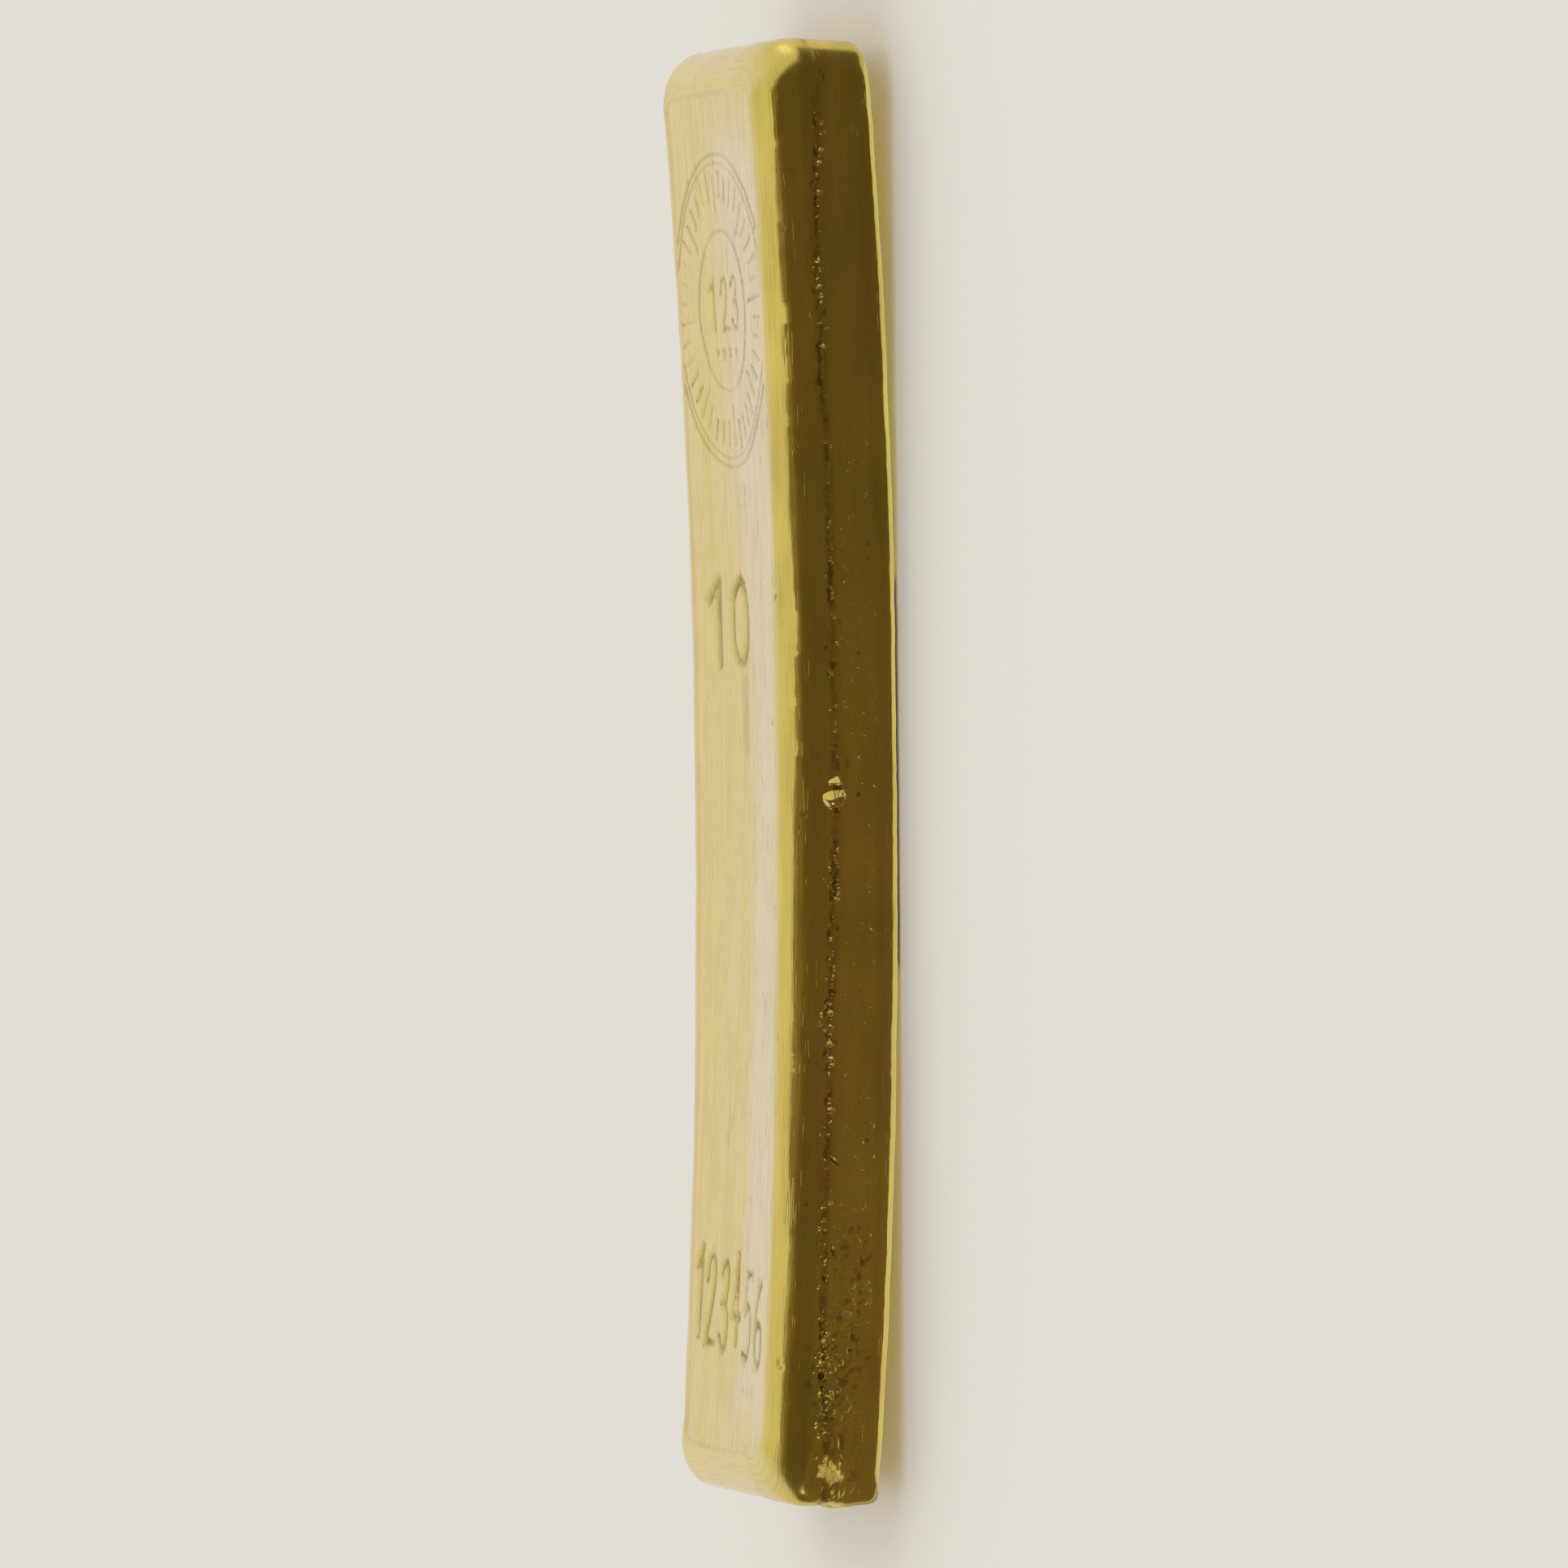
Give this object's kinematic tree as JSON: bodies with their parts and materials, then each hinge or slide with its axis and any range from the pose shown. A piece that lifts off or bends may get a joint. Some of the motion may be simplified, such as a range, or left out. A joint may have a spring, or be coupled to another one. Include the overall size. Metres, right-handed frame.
{
  "type": "metal ingot",
  "caption": "Cast metal ingot: a slightly bowed bar with a rounded rim, dished face, rough casting line and a worn flat on its back.",
  "frame": {"origin": "centre of the worn flat at the middle of the back, at floor level", "axes": "+X along the bar towards its stamped end, +Z out of the stamped front face"},
  "size_m": [0.1618, 0.0433, 0.0153],
  "materials": {
    "cast_gold": "cast, handled and finely scratched"
  },
  "bodies": {
    "root": {"ingot": "cast_gold"}
  },
  "joints": []
}
